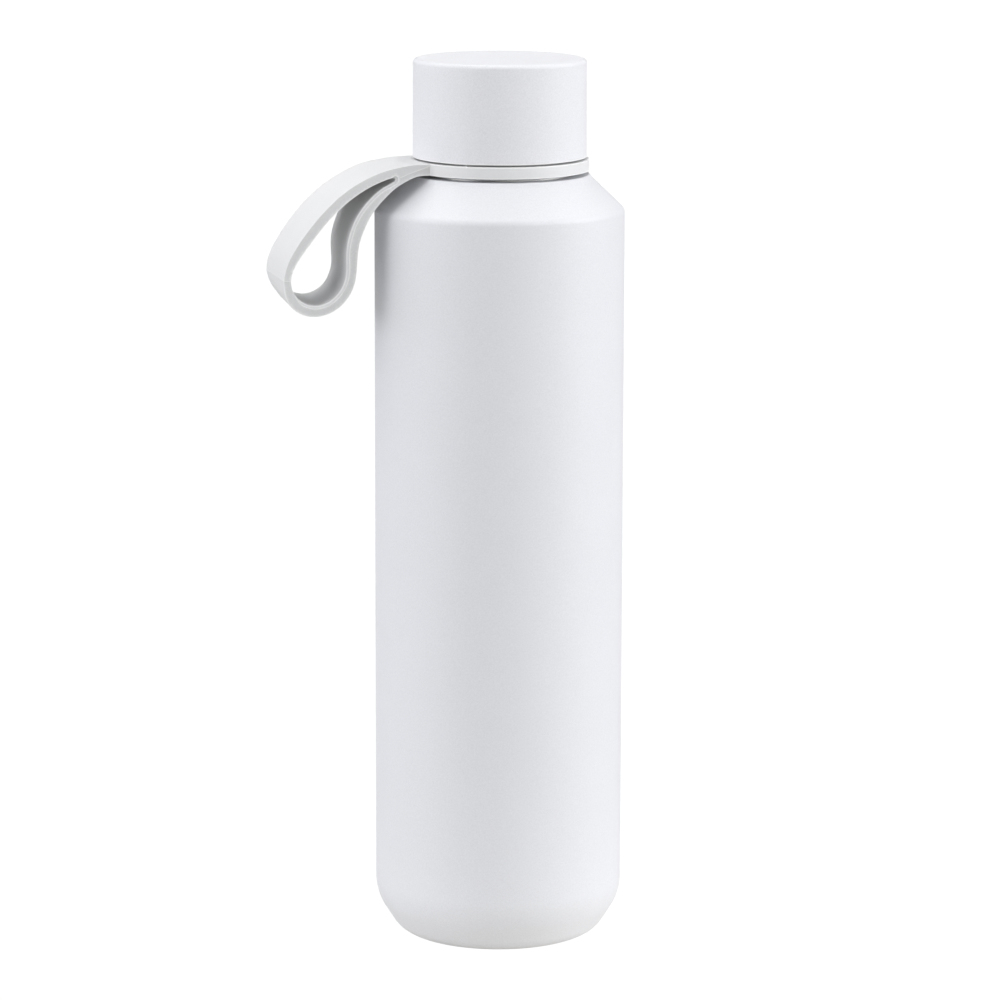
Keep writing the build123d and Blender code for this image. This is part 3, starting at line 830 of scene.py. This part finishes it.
def solid_join(target, tool):
    """Exact union of two closed meshes, leaving one."""
    mod = target.modifiers.new("join", "BOOLEAN")
    mod.operation = "UNION"
    mod.solver = "EXACT"
    mod.object = tool
    dg = bpy.context.evaluated_depsgraph_get()
    me = bpy.data.meshes.new_from_object(target.evaluated_get(dg))
    target.modifiers.remove(mod)
    old = target.data
    target.data = me
    bpy.data.meshes.remove(old)
    bpy.data.objects.remove(tool)


solid_join(loop, ring)
solid_join(loop, nub)
finish_shading(loop, 32.0)
painted_light_tree = KDTree(len(loop_painted_light))
painted_light_value = []
for n, (i, w) in enumerate(sorted(loop_painted_light.items())):
    painted_light_tree.insert(Vector(loop_v[i]) / MM, n)
    painted_light_value.append(w)
painted_light_tree.balance()


def strap_painted_light(x, y, z):
    """Painted highlight on the loop's edges by their rows; on the collar, painted highlight on its edges and painted
    light on its outer face, by radius and height.
    """
    p, n, dist = painted_light_tree.find(Vector((x, y, z)))
    if dist < 0.02:
        return painted_light_value[n]
    r = math.hypot(x, y)
    # painted highlights on the collar's edges, and its outer face painted a touch paler as painted light
    if 24.0 < r < 24.32 and (x > -20 or abs(y) > 11.2):
        if z < 212.55:
            return 0.75 if r > 24.25 else 0.0
        if z > 215.22:
            return 0.8
        return 0.24 if r > 24.25 else 0.0
    return 0.0


mark_edges(loop, strap_painted_light)
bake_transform(loop)
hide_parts("strap_collar", "strap_loop")


# ---------------------------------------------------------------------------
# Materials of the CAD pieces that stay
# ---------------------------------------------------------------------------
def paint(node, material):
    o = NODES[node]
    o.data.materials.clear()
    o.data.materials.append(material)


paint("outer_base", MAT_COAT)
paint("base_cover", MAT_DISC)
paint("vacuum_seal", MAT_SATIN)
paint("inner_flask", MAT_STEEL)
paint("inner_base", MAT_SATIN)
paint("copper_foil", MAT_COPPER)
paint("getter", MAT_GETTER)
paint("getter_clip", MAT_SATIN)
paint("threaded_neck", MAT_STEEL)
paint("mouth_gasket", MAT_SEAL)
paint("cap_liner", MAT_PP)
paint("stopper_plug", MAT_PP)
paint("cap_insulation", MAT_FOAM)
paint("insulation_cover", MAT_PP)

# ---------------------------------------------------------------------------
# Studio: pale floor, white surround, soft lights, camera
# ---------------------------------------------------------------------------
floor_mesh = bpy.data.meshes.new("studio_floor")
S = 6.0
floor_mesh.from_pydata([(-S, -S, -0.0002), (S, -S, -0.0002), (S, S, -0.0002), (-S, S, -0.0002)], [], [(0, 1, 2, 3)])
floor = bpy.data.objects.new("studio_floor", floor_mesh)
bpy.context.scene.collection.objects.link(floor)
mf = bpy.data.materials.new("studio_floor")
mf.use_nodes = True
nt = mf.node_tree
nt.nodes.clear()
out = nt.nodes.new("ShaderNodeOutputMaterial")
dif = nt.nodes.new("ShaderNodeBsdfDiffuse")
dif.inputs["Color"].default_value = (0.42, 0.42, 0.42, 1)
low = nt.nodes.new("ShaderNodeEmission")
low.inputs["Color"].default_value = (1.0, 0.96, 0.86, 1)
co = nt.nodes.new("ShaderNodeTexCoord")
spot = nt.nodes.new("ShaderNodeMapping")
spot.inputs["Location"].default_value = (-0.021 / 0.16, 0.020 / 0.16, 0.0)
spot.inputs["Scale"].default_value = (1 / 0.16, 1 / 0.16, 1.0)
near = nt.nodes.new("ShaderNodeTexGradient")
near.gradient_type = "SPHERICAL"
glow = nt.nodes.new("ShaderNodeMath")
glow.operation = "MULTIPLY_ADD"
glow.inputs[1].default_value = 0.32
glow.inputs[2].default_value = 0.065
nt.links.new(co.outputs["Object"], spot.inputs["Vector"])
nt.links.new(spot.outputs["Vector"], near.inputs["Vector"])
nt.links.new(near.outputs["Fac"], glow.inputs[0])
nt.links.new(glow.outputs[0], low.inputs["Strength"])
seen = nt.nodes.new("ShaderNodeEmission")
seen.inputs["Strength"].default_value = 1.05
add = nt.nodes.new("ShaderNodeAddShader")
mix = nt.nodes.new("ShaderNodeMixShader")
lp = nt.nodes.new("ShaderNodeLightPath")
nt.links.new(dif.outputs[0], add.inputs[0])
nt.links.new(low.outputs[0], add.inputs[1])
nt.links.new(lp.outputs["Is Camera Ray"], mix.inputs["Fac"])
nt.links.new(add.outputs[0], mix.inputs[1])
nt.links.new(seen.outputs[0], mix.inputs[2])
nt.links.new(mix.outputs[0], out.inputs["Surface"])
floor_mesh.materials.append(mf)

world = bpy.data.worlds.new("studio")
bpy.context.scene.world = world
world.use_nodes = True
nt = world.node_tree
nt.nodes.clear()
out = nt.nodes.new("ShaderNodeOutputWorld")
mix = nt.nodes.new("ShaderNodeMixShader")
lp = nt.nodes.new("ShaderNodeLightPath")
amb = nt.nodes.new("ShaderNodeBackground")
amb.inputs["Color"].default_value = (1, 1, 1, 1)
amb.inputs["Strength"].default_value = 0.01
bg = nt.nodes.new("ShaderNodeBackground")
bg.inputs["Color"].default_value = (1, 1, 1, 1)
bg.inputs["Strength"].default_value = 1.05
nt.links.new(lp.outputs["Is Camera Ray"], mix.inputs["Fac"])
nt.links.new(amb.outputs[0], mix.inputs[1])
nt.links.new(bg.outputs[0], mix.inputs[2])
nt.links.new(mix.outputs[0], out.inputs["Surface"])

PHI = 12.3


def sun(name, azimuth, elevation, strength, angle, tint):
    """A far soft light. Azimuth is measured from the camera, positive to its right."""
    data = bpy.data.lights.new(name, "SUN")
    data.energy = strength
    data.angle = math.radians(angle)
    data.color = tint
    o = bpy.data.objects.new(name, data)
    a = math.radians(azimuth - PHI)
    e = math.radians(elevation)
    d = Vector((math.sin(a) * math.cos(e), -math.cos(a) * math.cos(e), math.sin(e)))
    o.rotation_mode = "QUATERNION"
    o.rotation_quaternion = d.to_track_quat("Z", "Y")
    bpy.context.scene.collection.objects.link(o)
    return o


# Two soft boxes beside the bottle, fills, back lights and a top light, as
# (azimuth, elevation, strength, red, blue)
STUDIO = [
    (-105, 8, 0.156, 0.99, 1.04), (-90, 8, 0.249, 0.99, 1.05), (-75, 8, 0.245, 0.99, 1.04), (-60, 8, 0.375, 0.99, 1.04),
    (-45, 8, 0.185, 0.99, 1.08), (15, 8, 0.138, 0.98, 0.95), (30, 8, 0.162, 0.98, 0.99), (45, 8, 0.101, 1.00, 1.01),
    (60, 8, 0.191, 1.00, 1.08), (75, 8, 0.552, 0.99, 1.03), (90, 8, 0.646, 0.99, 1.04), (-150, 32, 0.153, 1.01, 1.08),
    (-135, 32, 0.051, 0.95, 1.08), (-120, 32, 0.053, 0.96, 1.08), (-105, 32, 0.123, 0.99, 1.03), (-90, 32, 0.103, 1.00, 1.04),
    (-75, 32, 0.167, 0.99, 0.99), (-60, 32, 0.114, 0.99, 1.03), (-45, 32, 0.204, 0.99, 1.02), (30, 32, 0.125, 0.99, 1.02),
    (60, 32, 0.082, 1.02, 0.94), (75, 32, 0.299, 1.00, 1.00), (90, 32, 0.346, 1.00, 1.01), (105, 32, 0.198, 0.99, 1.04),
    (150, 32, 0.055, 1.05, 0.93), (-150, 58, 0.633, 1.00, 1.01), (-120, 58, 0.069, 1.00, 0.93), (-105, 58, 0.150, 1.01, 1.00),
    (-90, 58, 0.087, 1.02, 0.97), (-75, 58, 0.055, 1.01, 0.93), (-60, 58, 0.135, 1.01, 0.99), (-45, 58, 0.099, 1.00, 1.02),
    (-30, 58, 0.143, 1.00, 1.01), (-15, 58, 0.077, 1.00, 0.98), (15, 58, 0.049, 1.04, 0.95), (30, 58, 0.113, 1.00, 1.04),
    (60, 58, 0.089, 1.01, 0.94), (90, 58, 0.109, 1.02, 0.93), (150, 58, 0.491, 1.00, 0.99), (0, 88, 0.276, 1.01, 1.00),
]
for i, (az, el, power, red, blue) in enumerate(STUDIO):
    sun("soft_%02d" % i, az, el, power, 26, (red, 1.0, blue))

cam_data = bpy.data.cameras.new("camera")
cam = bpy.data.objects.new("camera", cam_data)
bpy.context.scene.collection.objects.link(cam)
cam_data.sensor_width = 36.0
cam_data.lens = 4525.9 / 1000 * 36.0
cam_data.clip_start, cam_data.clip_end = 0.05, 50.0
pitch, roll, yaw, phi = (math.radians(v) for v in (10.615, 0.135, 0.014, PHI))
dist, height = 1.22266, 0.3502
fwd = Vector((math.sin(yaw) * math.cos(pitch), math.cos(yaw) * math.cos(pitch), -math.sin(pitch)))
right = Vector((math.cos(yaw), -math.sin(yaw), 0))
up = right.cross(fwd)
right2 = right * math.cos(roll) + up * math.sin(roll)
up2 = -right * math.sin(roll) + up * math.cos(roll)
turn = Matrix.Rotation(-phi, 3, "Z")
fwd, right2, up2 = turn @ fwd, turn @ right2, turn @ up2
m = Matrix((right2, up2, -fwd)).transposed().to_4x4()
m.translation = turn @ Vector((0, -dist, height))
cam.matrix_world = m
bpy.context.scene.camera = cam
bpy.context.scene.view_settings.view_transform = "Standard"
